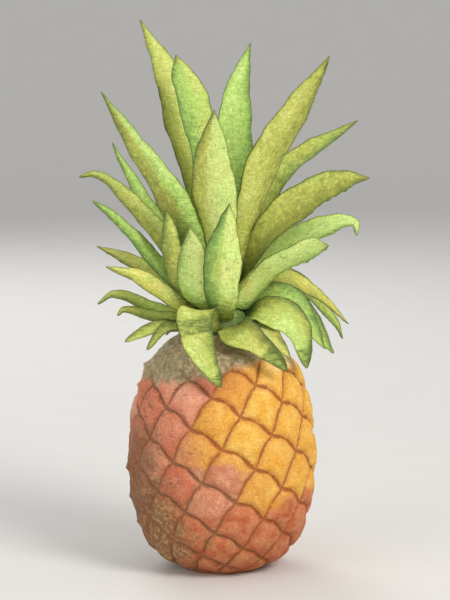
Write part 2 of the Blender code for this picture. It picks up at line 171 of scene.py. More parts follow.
# Each row: name, place in the spiral, degrees of turn, widest width, share of the length where
# it is widest, green against olive, and the points that its midline passes after its root
FRONT_LEAVES = [
    (
        "back_left_tall", 7, -5, 28, 0.6, 0.3,
        [(-17, 37, 262), (-28, 56, 298), (-40, 70, 337), (-58, 82, 373)],
    ),
    ("front_tall", 8, 0, 34, 0.5, 0.3, [(-6, -22, 248), (-7, -30, 276), (-5, -43, 315)]),
    ("back_right_tall", 4, 10, 29, 0.5, 0.95, [(7, 32, 270), (11, 56, 325), (20, 69, 357)]),
    ("right_tall", 6, -35, 33, 0.52, 0.05, [(27, -6, 267), (44, -15, 302), (71, -31, 350)]),
    ("back_left_broad", 2, -10, 26, 0.7, 0.66, [(-12, 10, 262), (-18, 22, 306), (-32, 47, 349)]),
    ("right_upper", 9, 30, 20, 0.6, 0.4, [(37, 21, 264), (57, 31, 281), (94, 43, 304)]),
    ("left_tall", 13, 40, 25, 0.4, 0.65, [(-31, -18, 247), (-57, -24, 289), (-80, -26, 326)]),
    ("right_mid", 14, 58, 30, 0.52, 0.05, [(28, -13, 227), (57, -20, 254), (82, -24, 267), (98, -27, 269)]),
    ("left_mid", 18, -50, 17, 0.4, 0.3, [(-46, 3, 232), (-75, 6, 263), (-87, 8, 269), (-97, 10, 267)]),
    ("front_left", 21, 40, 13, 0.5, 0.3, [(-29, -18, 198), (-33, -23, 216), (-37, -29, 248)]),
    ("right_hook", 22, 60, 21, 0.45, 1.0, [(43, 5, 219), (78, 10, 236), (90, 11, 236), (92, 11, 227)]),
    ("left_thin", 23, -45, 14, 0.4, 0.9, [(-46, 28, 236), (-71, 36, 279), (-76, 38, 289)]),
    ("left_green", 26, -50, 14, 0.35, 1.0, [(-41, 2, 205), (-70, -3, 238), (-87, -7, 252)]),
    ("right_curl", 27, -44, 20, 0.78, 0.85, [(29, -13, 202), (57, -22, 219), (71, -24, 224)]),
    ("front_centre", 29, 0, 25, 0.35, 0.6, [(-16, -26, 188), (-19, -34, 213), (-21, -42, 238)]),
    ("right_fan_top", 30, 40, 18, 0.5, 0.1, [(35, 17, 197), (64, 28, 185), (88, 33, 163)]),
    ("left_low_upper", 31, -50, 15, 0.4, 0.24, [(-46, 12, 200), (-60, 14, 208), (-86, 18, 219)]),
    ("left_low_lower", 34, -55, 17, 0.4, 0.2, [(-27, -17, 180), (-54, -16, 200), (-78, -20, 209)]),
    ("right_fan_bright", 35, 42, 23, 0.5, 0.75, [(26, 1, 185), (45, 1, 184), (70, -3, 151)]),
    ("front_right", 37, 0, 27, 0.5, 0.65, [(0, -35, 185), (0, -44, 210), (5, -50, 254)]),
    ("right_fan_back", 38, 60, 22, 0.4, 0.5, [(48, 45, 191), (79, 53, 162), (85, 55, 150)]),
    ("left_hook_lower", 39, -45, 11, 0.4, 0.4, [(-41, -4, 172), (-66, -6, 178), (-71, -6, 174)]),
    ("right_fan_inner", 48, 25, 15, 0.4, 0.1, [(25, -20, 170), (36, -34, 161), (46, -38, 149)]),
    ("left_droop_front", 42, -30, 10, 0.4, 0.3, [(-25, -21, 168), (-38, -28, 168), (-50, -36, 155)]),
    ("right_fan_teal", 43, 48, 23, 0.45, 0.66, [(29, 8, 179), (50, 12, 178), (77, 18, 145)]),
    ("left_hook_upper", 44, -45, 11, 0.4, 0.5, [(-42, 16, 174), (-74, 24, 185), (-86, 26, 178)]),
    ("right_low", 45, 44, 25, 0.34, 0.25, [(11, -39, 167), (22, -47, 162), (34, -51, 153), (43, -50, 143)]),
    ("left_droop", 47, -40, 12, 0.4, 0.3, [(-32, -14, 167), (-44, -19, 168), (-65, -26, 159)]),
    ("right_fan_front", 40, 46, 27, 0.4, 0.45, [(28, -17, 178), (50, -22, 168), (57, -26, 141)]),
    (
        "front_droop", 50, 0, 28, 0.45, 0.4,
        [(-13, -38, 181), (-17, -50, 179), (-14, -57, 160), (-1, -63, 134)],
    ),
]
# How a leaf is coloured: how light it is, how much darker its left half is with painted shade (or its right
# half, below 0; the lower half of a leaf that lies flat), where the shaded half begins, how far up from
# the root the leaf has painted shade, and how much more olive its shaded half is (or greener, below 0)
LEAF_LOOKS = {
    "back_left_tall": (0.75, 0.3, 0.0, 0.35, 0.15),
    "front_tall": (0.85, 0.9, 0.2, 0.35, 0.25),
    "back_right_tall": (0.68, -0.4, 0.35, 0.7, -0.1),
    "right_tall": (0.55, -0.6, 0.1, 0.35, 0.2),
    "back_left_broad": (0.65, 0.45, -0.1, 0.85, -0.3),
    "right_upper": (0.4, -0.3, 0.0, 0.45, -0.1),
    "left_tall": (0.75, 0.9, -0.3, 0.65, 0.4),
    "right_mid": (0.28, -0.5, 0.1, 0.35, 0.2),
    "left_mid": (0.6, 0.5, 0.0, 0.45, 0.2),
    "front_left": (0.45, 0.6, 0.0, 0.5, 0.0),
    "right_hook": (1.1, -0.45, 0.3, 0.15, -0.2),
    "left_thin": (0.7, 0.4, 0.0, 0.4, -0.1),
    "left_green": (0.55, 0.5, 0.0, 0.4, 0.0),
    "right_curl": (0.95, -0.6, 0.3, 0.12, -0.2),
    "front_centre": (1.1, 0.6, 0.2, 0.45, -0.15),
    "right_fan_top": (0.5, -0.6, 0.1, 0.35, -0.2),
    "left_low_upper": (1.1, 0.5, 0.2, 0.3, 0.0),
    "left_low_lower": (0.8, 0.5, 0.0, 0.4, 0.0),
    "right_fan_bright": (0.6, -0.5, 0.1, 0.4, -0.1),
    "front_right": (0.68, 1.2, 0.2, 0.45, -0.15),
    "right_fan_back": (0.35, -0.4, 0.0, 0.3, 0.0),
    "left_hook_lower": (0.65, 0.4, 0.0, 0.3, 0.0),
    "right_fan_inner": (0.8, -0.5, 0.2, 0.1, 0.1),
    "left_droop_front": (0.55, 0.4, 0.0, 0.3, 0.0),
    "right_fan_teal": (0.45, -0.5, 0.0, 0.4, 0.0),
    "left_hook_upper": (0.65, 0.4, 0.0, 0.3, 0.0),
    "right_low": (0.4, -0.8, 0.3, 0.1, 0.1),
    "left_droop": (0.65, 0.4, 0.0, 0.3, 0.0),
    "right_fan_front": (0.65, -0.6, 0.3, 0.35, 0.1),
    "front_droop": (0.65, -0.4, 0.4, 0.1, 0.0),
}
OTHER_LOOKS = (0.45, 0.3, 0.0, 0.4, 0.0)
# Shares of the length between which a leaf is shaded as under a fold
DARK_BANDS = {
    "front_droop": ((0.44, 0.57), (0.9, 1.1)),
    "right_low": ((0.7, 1.1),),
    "right_fan_front": ((0.8, 1.1),),
    "front_centre": ((0.0, 0.22),),
}
# Shares of the length between which a leaf is warm yellow
WARM_BANDS = {
    "right_curl": (0.12, 0.42),
    "right_fan_top": (0.3, 1.1),
    "left_low_upper": (0.2, 1.1),
    "left_low_lower": (0.4, 0.9),
    "right_fan_inner": (0.5, 1.1),
}
PAST_THE_TIP = (2.0, 3.0)
# These leaves stay wide further towards the tip, or narrow sooner, than the usual bluntness gives
BLUNTNESS = {
    "back_left_broad": 3.0,
    "right_mid": 2.4,
    "right_curl": 3.6,
    "right_low": 0.95,
    "front_left": 2.8,
    "front_droop": 1.15,
    "right_fan_front": 1.15,
}
# These leaves are wider than their solids, by some millimetres
WIDER = {"front_centre": 9, "front_left": 2}
# These leaves have rounded tips, given by half the tip's width
ROUND_TIPS = {
    "front_droop": 2.8,
    "left_hook_upper": 1.7,
    "left_hook_lower": 1.5,
    "left_green": 1.5,
    "left_mid": 1.2,
    "right_hook": 1.6,
    "left_droop": 1.5,
    "left_droop_front": 1.5,
    "right_fan_front": 2.0,
    "right_low": 2.2,
    "right_fan_teal": 1.5,
    "right_fan_back": 1.5,
}
# How deeply these leaves are torn along one edge, and on which side, by the sign
TORN = {
    "right_curl": 2.2,
    "right_mid": -0.7,
    "right_tall": 0.4,
    "right_fan_top": -0.7,
    "right_fan_teal": -0.6,
    "right_fan_back": -0.8,
}

# Leaves that follow a rule: their places in the spiral, length and width
RULE_LEAVES = {
    "back": ((15, 17, 20, 25, 28, 33, 36, 41, 46, 49), 98.0, 23.0),
    "inner": ((16, 19), 41.0, 13.0),
}
SHORTER_EACH_PLACE = 0.5
NARROWER_EACH_PLACE = 0.25
RULE_WIDEST_AT = 0.42
LEAN_RANGE = (4, 76)
LEAN_GROWTH = 1.5
CURL_RANGE = (14, 64)
CURL_SPREAD = 6.0
FARTHEST_SIDEWAYS = 40.0
RULE_SEED = 7
RULE_LEAST_GREEN = 0.3
RULE_GREEN_SPREAD = 0.36

# Camera, in metres, and the picture that it takes: its height in pixels, and millimetres in each
CAMERA_DISTANCE = 1.6
CAMERA_ELEVATION = math.radians(7)
CAMERA_AIM = (0.002, 0, 0.184)
CAMERA_SENSOR = 36.0
PICTURE_HEIGHT = 600
MM_PER_PIXEL = 0.68

# Floor, in metres
FLOOR_RADIUS = 3.0
COVE_RADIUS = 2.0


def smooth_step(low, high, value):
    share = np.clip((value - low) / (high - low), 0, 1)
    return share * share * (3 - 2 * share)


def on_ray(angle, radius, height):
    """Places at that angle round the axis, that far from it and that high."""
    return np.stack([radius * np.cos(angle), radius * np.sin(angle), height + 0 * angle], -1)


def smooth_curve(points, count):
    """That many points, evenly spaced, on a smooth curve through the points given."""
    points = [np.array(p, float) for p in points]
    ends = [2 * points[0] - points[1], *points, 2 * points[-1] - points[-2]]
    steps = np.arange(0, 1, 1 / 24)[:, None]
    fine = []
    for before, start, end, after in zip(ends, ends[1:], ends[2:], ends[3:]):
        span = np.linalg.norm(end - start)
        leave = (end - before) * span / (span + np.linalg.norm(start - before))
        arrive = (after - start) * span / (span + np.linalg.norm(after - end))
        fine.append(
            start * (1 + 2 * steps) * (1 - steps) ** 2
            + end * steps * steps * (3 - 2 * steps)
            + leave * steps * (1 - steps) ** 2
            - arrive * steps * steps * (1 - steps)
        )
    fine = np.concatenate([*fine, [points[-1]]])
    lengths = np.concatenate([[0], np.cumsum(np.linalg.norm(np.diff(fine, axis=0), axis=1))])
    wanted = np.linspace(0, lengths[-1], count)
    return np.stack([np.interp(wanted, lengths, axis) for axis in fine.T], 1)


def unit(vectors):
    return vectors / np.linalg.norm(vectors, axis=-1, keepdims=True)


def wander(points, size, seed):
    """Smooth noise vectors at points, from about -1 to 1; size is the noise's grain in millimetres."""
    noise.seed_set(NOISE_SEED)
    offset = Vector((seed * 17.3, seed * 5.1, seed * 11.7))
    return np.array([noise.noise_vector(Vector(p) / size + offset) for p in points])


def make_piece(name, points, faces, values):
    """A smooth mesh object from points in millimetres, with its named values at each point."""
    mesh = bpy.data.meshes.new(name)
    mesh.from_pydata((np.asarray(points) * MM).tolist(), [], faces)
    for key, numbers in values.items():
        attribute = mesh.attributes.new(key, "FLOAT", "POINT")
        attribute.data.foreach_set("value", np.asarray(numbers, np.float32))
    mesh.shade_smooth()
    mesh.update()
    piece = bpy.data.objects.new(name, mesh)
    bpy.context.scene.collection.objects.link(piece)
    return piece


# Paint


def tint(code):
    """A colour from its six-digit code, as the shader wants it."""
    parts = [int(code[i : i + 2], 16) / 255 for i in (0, 2, 4)]
    return (*[p / 12.92 if p <= 0.04045 else ((p + 0.055) / 1.055) ** 2.4 for p in parts], 1)


class Paint:
    """A material and short names for its nodes."""

    def __init__(self, name, roughness=0.5, specular=0.4):
        self.material = bpy.data.materials.new(name)
        self.material.use_nodes = True
        self.tree = self.material.node_tree
        self.shader = self.tree.nodes["Principled BSDF"]
        self.shader.inputs["Roughness"].default_value = roughness
        self.shader.inputs["Specular IOR Level"].default_value = specular

    def node(self, kind, inputs, output=0, **settings):
        made = self.tree.nodes.new(kind)
        for key, value in settings.items():
            setattr(made, key, value)
        for key, value in inputs.items():
            self.feed(made.inputs[key], value)
        return made.outputs[output]

    def feed(self, socket, value):
        if isinstance(value, bpy.types.NodeSocket):
            self.tree.links.new(value, socket)
        else:
            socket.default_value = value

    def place(self):
        """Position in millimetres, which moves with the object."""
        coordinates = self.node("ShaderNodeTexCoord", {}, "Object")
        return self.node("ShaderNodeVectorMath", {0: coordinates, "Scale": 1000.0}, operation="SCALE")

    def attribute(self, name):
        return self.node("ShaderNodeAttribute", {}, "Fac", attribute_name=name)

    def math(self, operation, a, b=0.0):
        return self.node("ShaderNodeMath", {0: a, 1: b}, operation=operation)

    def add(self, a, b):
        return self.math("ADD", a, b)

    def minus(self, a, b):
        return self.math("SUBTRACT", a, b)

    def times(self, a, b):
        return self.math("MULTIPLY", a, b)

    def swing(self, value, amount):
        """Spreads a value from 0 to 1 over that amount, half of it on each side of 0."""
        return self.times(self.minus(value, 0.5), amount)

    def axis(self, place, number):
        return self.node("ShaderNodeSeparateXYZ", {0: place}, number)

    def noise(self, place, scale, detail=2.0, roughness=0.5, stretch=(1, 1, 1)):
        """Noise from 0 to 1; scale is grains in a millimetre, and stretch scales each axis."""
        place = self.node("ShaderNodeVectorMath", {0: place, 1: stretch}, operation="MULTIPLY")
        inputs = {"Vector": place, "Scale": scale, "Detail": detail, "Roughness": roughness}
        return self.node("ShaderNodeTexNoise", inputs)

    def cracks(self, place, scale):
        """1 along thin wandering cracks, and 0 between them; scale is cracks in a millimetre."""
        inputs = {"Vector": place, "Scale": scale * 1.5, "Detail": 3.0}
        sway = self.node("ShaderNodeTexNoise", inputs, "Color")
        sway = self.node("ShaderNodeVectorMath", {0: sway, "Scale": 0.8 / scale}, operation="SCALE")
        place = self.node("ShaderNodeVectorMath", {0: place, 1: sway}, operation="ADD")
        inputs = {"Vector": place, "Scale": scale}
        edge = self.node("ShaderNodeTexVoronoi", inputs, "Distance", feature="DISTANCE_TO_EDGE")
        return self.between(edge, 0.06, 0.015)

    def between(self, value, low, high, start=0.0, end=1.0):
        """Goes smoothly from start to end as value goes from low to high."""
        inputs = {0: value, 1: low, 2: high, 3: start, 4: end}
        return self.node("ShaderNodeMapRange", inputs, interpolation_type="SMOOTHSTEP")

    def mix(self, factor, a, b, blend="MIX"):
        inputs = {0: factor, 6: a, 7: b}
        return self.node("ShaderNodeMix", inputs, 2, data_type="RGBA", blend_type=blend)

    def mottle(self, colour, value, limits, dark, bright, amount):
        """Multiplies a colour by dark to bright as value goes from one limit to the other."""
        tones = self.mix(self.between(value, *limits), (*dark, 1), (*bright, 1))
        return self.mix(amount, colour, tones, "MULTIPLY")

    def bump(self, height, distance, strength=1.0, under=None):
        inputs = {"Height": height, "Distance": distance * MM, "Strength": strength}
        if under is not None:
            inputs["Normal"] = under
        return self.node("ShaderNodeBump", inputs)


# Fruit


class FruitSide:
    """The fruit's outline from top to bottom, measured in eyes passed on the way down."""

    def __init__(self):
        points = smooth_curve([(r, z, 0) for r, z in reversed(FRUIT_SIDE)], SIDE_SAMPLES)[:, :2]
        radii = (points[1:, 0] + points[:-1, 0]) / 2
        pitch = EYE_PITCH * (radii / FRUIT_WIDEST) ** EYE_PITCH_SHRINK
        steps = np.linalg.norm(np.diff(points, axis=0), axis=1)
        self.eyes = FIRST_EYE + np.concatenate([[0], np.cumsum(steps / pitch)])
        self.points = points
        along = unit(np.gradient(points, axis=0))
        self.out = np.stack([-along[:, 1], along[:, 0]], 1)

    def at(self, eye):
        """Radius, height, and the outward direction's two parts."""
        columns = (*self.points.T, *self.out.T)
        return [np.interp(eye, self.eyes, column) for column in columns]


def shoulder_at(angle, height):
    """How far a place is into the dry shoulder under the crown, which reaches lower on the left."""
    edge = 149 + 9 * np.cos(angle)
    return smooth_step(edge - 4, edge + 3, height)


def dryness_at(angle, height):
    """How dry and brown the skin is, which reaches lower than the flattened eyes do."""
    edge = 146 + 13 * np.cos(angle - math.radians(20))
    return smooth_step(edge - 8, edge + 5, height)


def warp_eyes(side, a, b):
    """Eyes passed and angle at each place, and which places the side reaches."""
    u, v = (a + 0.5) * math.pi, (b + 0.5) * math.pi
    bow = np.sin(u) ** 2 * np.cos(v) ** 2 + np.sin(v) ** 2 * np.cos(u) ** 2
    eye = FLAT_ROWS * a + STEEP_ROWS * b - SEAM_BOW * bow / EYE_PITCH
    angle = np.radians(EYE_START_ANGLE + FLAT_STEP * a + STEEP_STEP * b)
    used = (eye > FIRST_EYE) & (eye < side.eyes[-1])
    radius, height, *_ = side.at(eye)
    drift = np.zeros((len(eye), 3))
    drift[used] = wander(on_ray(angle, radius, height)[used], DRIFT_GRAIN, 1)
    eye = eye + DRIFT_DOWN * drift[:, 0]
    angle = angle + DRIFT_SIDEWAYS * drift[:, 1] / np.maximum(radius, DRIFT_LEAST_RADIUS)
    return eye, angle, used


def from_middle(value):
    """How far a place is from the middle of its eye, up to 0.5 at either seam."""
    offset = (value + 0.5) % 1 - 0.5
    offset[np.isclose(np.abs(offset), 0.5)] = 0.5
    return offset


def eye_relief(across, down, left, height, values):
    """Height of the skin over its seams: pillow of the eye, groove round it and bract tip on it."""
    pillow = (1 - np.abs(2 * across) ** EYE_SQUARENESS) * (1 - np.abs(2 * down) ** EYE_SQUARENESS)
    flat = np.exp(-((values["flat_seam"] / FLAT_GROOVE_WIDTH) ** 2))
    steep = np.exp(-((values["steep_seam"] / STEEP_GROOVE_WIDTH) ** 2))
    groove = np.maximum(flat, STEEP_GROOVE_SHARE * steep)
    tone = values["tone"]
    bract = np.maximum(0, 1 - np.hypot(across, down) / BRACT_REACH) ** BRACT_SHARPNESS
    bract = bract * np.maximum(left * smooth_step(0.25, 0.6, tone), smooth_step(0.45, 0.8, tone))
    higher_up = BRACT_LOW_SHARE + (1 - BRACT_LOW_SHARE) * smooth_step(50, 100, height)
    bract = bract * (BRACT_HEIGHT + BRACT_MORE_ON_LEFT * left * higher_up)
    return values["strength"] * (EYE_HEIGHT * pillow - SEAM_DEPTH - GROOVE_DEPTH * groove + bract)


def spiral_faces(columns, rows):
    """Faces of the sheet of eyes, which joins its own start eight eyes further down."""
    shift = FLAT_ROWS * EYE_PIECES
    count = rows - shift
    number = np.arange(columns * (rows + 1)).reshape(columns, rows + 1)
    here = number[:, :count]
    below = number[:, 1 : count + 1]
    wrapped = number[:1, shift:]
    right = np.concatenate([number[1:, :count], wrapped[:, :count]])
    right_below = np.concatenate([number[1:, 1 : count + 1], wrapped[:, 1 : count + 1]])
    return np.stack([here, below, right_below, right], -1).reshape(-1, 4)


def make_skin():
    """The fruit's skin, as a fine grid over the two families of spirals, a and b."""
    side = FruitSide()
    columns = STEEP_ROWS * EYE_PIECES
    first_row = -(FLAT_ROWS + 1) * EYE_PIECES
    last_row = int(side.eyes[-1] / STEEP_ROWS + 2) * EYE_PIECES
    rows = last_row - first_row + FLAT_ROWS * EYE_PIECES
    i, j = np.meshgrid(np.arange(columns), np.arange(rows + 1), indexing="ij")
    a = i.ravel() / EYE_PIECES - 0.5
    b = (j.ravel() + first_row) / EYE_PIECES - 0.5
    eye, angle, used = warp_eyes(side, a, b)
    radius, height, out_radius, out_height = side.at(eye)

    across, down = from_middle(a), from_middle(b)
    column, row = np.floor(a + 0.5).astype(int), np.floor(b + 0.5).astype(int)
    eye_radius, eye_height, *_ = side.at(FLAT_ROWS * column + STEEP_ROWS * row)
    eye_angle = np.radians(EYE_START_ANGLE + FLAT_STEP * column + STEEP_STEP * row)
    tones = np.random.default_rng(TONE_SEED).random((TONE_COUNT, TONE_COUNT))
    size = EYE_WIDTH * (radius / FRUIT_WIDEST) ** EYE_WIDTH_SHRINK
    far, near = np.maximum(np.abs(across), np.abs(down)), np.minimum(np.abs(across), np.abs(down))
    shoulder = shoulder_at(angle, height)
    strength = smooth_step(EYES_FLAT_BELOW_RADIUS, EYES_FULL_ABOVE_RADIUS, radius)
    values = {
        "flat_seam": (0.5 - np.abs(down)) * size,
        "steep_seam": (0.5 - np.abs(across)) * size,
        "corner": near + 0.5 - far,
        "eye_x": eye_radius * np.cos(eye_angle),
        "eye_height": eye_height,
        "tone": tones[column % TONE_COUNT, row % TONE_COUNT],
        "strength": strength * (1 - SHOULDER_FLATTENS * shoulder),
    }
    left = smooth_step(0.2, 0.95, -np.cos(angle))
    relief = eye_relief(across, down, left, height, values)
    smooth = on_ray(angle, radius, height)
    for seed, (grain, everywhere, on_shoulder) in enumerate(ROUGHNESS, 2):
        rough = np.zeros(len(smooth))
        rough[used] = wander(smooth[used], grain, seed)[:, 0]
        relief = relief + (everywhere + on_shoulder * shoulder) * rough
    height = height + out_height * relief
    place = on_ray(angle, radius + out_radius * relief, height)
    values["dryness"] = dryness_at(angle, height)

    faces = spiral_faces(columns, rows)
    inside = used & (height > -3) & (height < FRUIT_TOP + 3)
    faces = faces[inside[faces].all(1)]
    kept, faces = np.unique(faces, return_inverse=True)
    values = {key: value[kept] for key, value in values.items()}
    piece = make_piece("skin", place[kept], faces.reshape(-1, 4).tolist(), values)
    close_skin(piece)
    return piece


def close_skin(piece):
    """Cuts the skin flat at its base and at its top, and closes both."""
    bm = bmesh.new()
    bm.from_mesh(piece.data)
    for height, outward in ((0.0, -1), (FRUIT_TOP * MM, 1)):
        bmesh.ops.bisect_plane(
            bm,
            geom=[*bm.verts, *bm.edges, *bm.faces],
            plane_co=(0, 0, height),
            plane_no=(0, 0, outward),
            clear_outer=True,
        )
        edge_shade = [e for e in bm.edges if e.is_boundary and abs(e.verts[0].co.z - height) < 1e-5]
        bmesh.ops.holes_fill(bm, edges=edge_shade, sides=0)
    bmesh.ops.recalc_face_normals(bm, faces=bm.faces)
    for face in bm.faces:
        face.smooth = abs(face.normal.z) < 0.9999 or len(face.verts) < 5
    bm.to_mesh(piece.data)
    bm.free()


def wash_rind(p, place, soft, blots):
    """Gold on the right, salmon on the left, red below, brown at the lower left, and a painted highlight at
    the right of the shoulder.
    """
    broad = p.noise(place, 0.045, 3.0, 0.6)
    sideways, height = p.axis(place, 0), p.axis(place, 2)
    tone = p.attribute("tone")

    # Each eye takes much of its colour as a whole
    x = p.add(p.times(p.attribute("eye_x"), 0.5), p.times(sideways, 0.5))
    x = p.add(x, p.swing(soft, 22.0))
    z = p.add(p.times(p.attribute("eye_height"), 0.5), p.times(height, 0.5))
    z = p.add(z, p.swing(broad, 14.0))

    border = p.add(p.between(z, 86.0, 74.0, 0.0, 34.0), p.between(z, 105.0, 140.0, 0.0, 22.0))
    side = p.minus(p.minus(x, border), -20.0)
    gold = p.mix(p.between(soft, 0.35, 0.7), tint("eaac42"), tint("f3c465"))
    orange = p.mix(p.between(tone, 0.2, 0.8), tint("d9964a"), tint("d48a48"))
    gold = p.mix(p.between(side, 26.0, 4.0, 0.0, 0.7), gold, orange)
    gold = p.mix(p.between(tone, 0.6, 1.0, 0.0, 0.4), gold, tint("e29a45"))
    salmon = p.mix(p.between(soft, 0.35, 0.65), tint("cc8462"), tint("dfa07e"))
    # Salmon paler higher up: painted light on the upper left
    salmon = p.mix(p.between(z, 92.0, 118.0, 0.0, 0.75), salmon, tint("f2b596"))
    redder = p.add(p.times(tone, 0.5), p.times(broad, 0.9))
    salmon = p.mix(p.between(redder, 0.5, 0.95, 0.0, 0.75), salmon, tint("c8684a"))
    skin = p.mix(p.between(side, -7.0, 6.0), salmon, gold)
    low = p.mix(p.between(soft, 0.35, 0.65), tint("bc6440"), tint("d68a60"))
    lowest_gold = p.add(47.0, p.between(x, 25.0, 60.0, 0.0, 8.0))
    skin = p.mix(p.between(p.minus(z, lowest_gold), 3.0, -3.0), skin, low)

    stain = p.mix(p.between(blots, 0.4, 0.65), tint("775c3d"), tint("b39868"))
    low_left = p.add(p.between(sideways, -8.0, -52.0), p.between(height, 105.0, 25.0))
    low_left = p.add(low_left, p.swing(soft, 1.3))
    skin = p.mix(p.between(low_left, 0.85, 1.65, 0.0, 0.85), skin, stain)
    far_left = p.add(p.between(sideways, -26.0, -56.0), p.swing(soft, 1.6))
    far_left = p.times(p.between(far_left, 0.45, 1.1, 0.0, 0.7), p.between(height, 112.0, 94.0))
    skin = p.mix(far_left, skin, tint("7f5843"))
    # Painted highlight: a cream patch on the right of the shoulder
    painted_highlight = p.times(p.between(sideways, 26.0, 38.0), p.between(height, 136.0, 150.0))
    skin = p.mix(p.times(painted_highlight, 0.95), skin, tint("ffeeb8"))
    return skin, side


def draw_seams(p, skin, side, soft, blots):
    """Seams round the eyes, which are thick and thin by turns and fade in places."""
    flat_seam, steep_seam = p.attribute("flat_seam"), p.attribute("steep_seam")
    waver = p.swing(blots, 2.2)
    flat = p.add(flat_seam, p.between(p.attribute("corner"), 0.35, 0.0, 0.0, 0.7))
    flat = p.between(p.add(flat, waver), 1.75, 0.95, 0.0, 0.85)
    steep = p.between(p.add(steep_seam, waver), 1.3, 0.55, 0.0, 0.8)
    steep = p.times(steep, p.between(soft, 0.3, 0.48, 0.35, 1.0))
    seam = p.times(p.math("MAXIMUM", flat, steep), p.between(p.attribute("strength"), 0.1, 0.6))
    seam_colour = p.mix(p.between(side, -20.0, 10.0), tint("7d5f49"), tint("a2562b"))
    skin = p.mix(seam, skin, seam_colour)
    nearest = p.math("MINIMUM", flat_seam, steep_seam)
    return p.mix(p.between(nearest, 5.0, 0.5, 0.0, 0.28), skin, tint("b0683a"))


def paint_skin():
    p = Paint("pineapple_rind", roughness=0.68, specular=0.22)
    place = p.place()
    soft = p.noise(place, 0.12, 3.0, 0.6)
    blots = p.noise(place, 0.33, 3.0, 0.6)
    fine = p.noise(place, 0.8, 3.0, 0.7)
    flat_strokes = p.noise(place, 0.6, 2.0, 0.6, (0.35, 0.35, 2.2))
    upright_strokes = p.noise(place, 1.1, 2.0, 0.6, (1.3, 1.3, 0.35))
    skin, side = wash_rind(p, place, soft, blots)
    skin = draw_seams(p, skin, side, soft, blots)

    crack = p.times(p.cracks(place, 0.075), p.between(soft, 0.46, 0.54))
    crack = p.times(crack, p.between(p.axis(place, 0), 0.0, -22.0, 0.0, 0.5))
    skin = p.mix(crack, skin, tint("8e5139"))
    dry = p.mix(p.between(blots, 0.35, 0.65), tint("978766"), tint("c4b38c"))
    dry = p.mix(p.between(fine, 0.45, 0.65, 0.0, 0.35), dry, tint("6f5d45"))
    shoulder = p.add(p.attribute("dryness"), p.swing(soft, 1.5))
    skin = p.mix(p.between(shoulder, 0.25, 0.9), skin, dry)

    skin = p.mottle(skin, fine, (0.3, 0.7), (0.8, 0.78, 0.75), (1.14, 1.14, 1.14), 0.8)
    skin = p.mottle(skin, flat_strokes, (0.35, 0.65), (0.9, 0.88, 0.86), (1.06, 1.06, 1.06), 0.8)
    skin = p.mottle(skin, upright_strokes, (0.35, 0.65), (0.88, 0.86, 0.84), (1.06, 1.06, 1.06), 0.7)
    p.feed(p.shader.inputs["Base Color"], skin)
    relief = p.bump(fine, 0.6, 0.7)
    relief = p.bump(blots, 1.2, 0.5, relief)
    p.feed(p.shader.inputs["Normal"], relief)
    return p.material


# Leaves


def leaf_root(place):
    """Angle and point of a root, by its place in the spiral, which counts from the top down."""
    rise = HIGHEST_ROOT + (LOWEST_ROOT - HIGHEST_ROOT) * place / (LEAF_PLACES - 1)
    taper = (CROWN_STEM_BOTTOM_RADIUS - CROWN_STEM_TOP_RADIUS) / CROWN_STEM_HEIGHT
    radius = CROWN_STEM_BOTTOM_RADIUS - taper * rise + ROOT_CLEARANCE + LEAF_THICKNESS / 2
    angle = math.radians(FIRST_LEAF_ANGLE + GOLDEN_ANGLE * place)
    return angle, on_ray(angle, radius, FRUIT_TOP + GAP + rise)


def rule_route(place, length, draw):
    """Points of a midline that leans and curls more, the further out its place is."""
    angle, root = leaf_root(place)
    share = place / (LEAF_PLACES - 1)
    lean = LEAN_RANGE[0] + (LEAN_RANGE[1] - LEAN_RANGE[0]) * share**LEAN_GROWTH
    curl = CURL_RANGE[0] + (CURL_RANGE[1] - CURL_RANGE[0]) * share
    curl += draw.uniform(-CURL_SPREAD, CURL_SPREAD)
    headings = [math.radians(lean + curl / 4), math.radians(lean + curl * 3 / 4)]
    radius, height = math.hypot(root[0], root[1]), root[2]
    outward = sum(math.sin(heading) for heading in headings) / 2
    farthest = FARTHEST_SIDEWAYS / abs(math.cos(angle))
    length = min(length, (farthest - radius) / outward)
    route = [root]
    for heading in headings:
        radius += length / 2 * math.sin(heading)
        height += length / 2 * math.cos(heading)
        route.append(on_ray(angle, radius, height))
    return route


def half_widths(share, length, width, widest_at, root_half_width, bluntness, tip):
    """Half the blade's width along it, which swells from the root and narrows to a rounded tip."""
    swell = root_half_width + (width / 2 - root_half_width) * smooth_step(0, widest_at, share)
    past = np.clip((share - widest_at) / (1 - widest_at), 0, 1)
    narrow = tip + (width / 2 - tip) * (1 - past**bluntness)
    half = np.where(share < widest_at, swell, narrow)
    half = half * (1 - 0.25 * smooth_step(0.9, 1.0, share))
    round_off = np.clip(1 - (1 - share) * length / (1.3 * tip), 0, 1)
    return half * np.maximum(0.4, np.sqrt(1 - round_off**2))


def edge_waves(draw, wave_lengths, stations, turns):
    """A sum of waves along each edge, each as high as it is long, with other phases on each edge."""
    waves = 0
    for wave_length in wave_lengths:
        phases = draw.uniform(0, 2 * math.pi, 2)
        edges = [np.sin(stations / wave_length * 2 * math.pi + phase) for phase in phases]
        waves = waves + wave_length * np.where(turns < 0, edges[0], edges[1])
    return waves


def notches_along(stations, seed):
    """Coarse and fine notches at each station along a torn edge."""
    coarse = np.array([noise.noise(Vector((s / 3.5, seed, 0))) for s in stations])
    fine = np.array([noise.noise(Vector((s / 1.6, seed, 7))) for s in stations])
    return coarse + 0.5 * fine


def tube_faces(rings, around):
    """Faces of a closed tube of that many rings of points, with both ends shut."""
    number = np.arange(rings * around).reshape(rings, around)
    nxt = np.roll(number, -1, 1)
    faces = np.stack([number[:-1], nxt[:-1], nxt[1:], number[1:]], -1).reshape(-1, 4).tolist()
    return faces + [number[0, ::-1].tolist(), number[-1].tolist()]


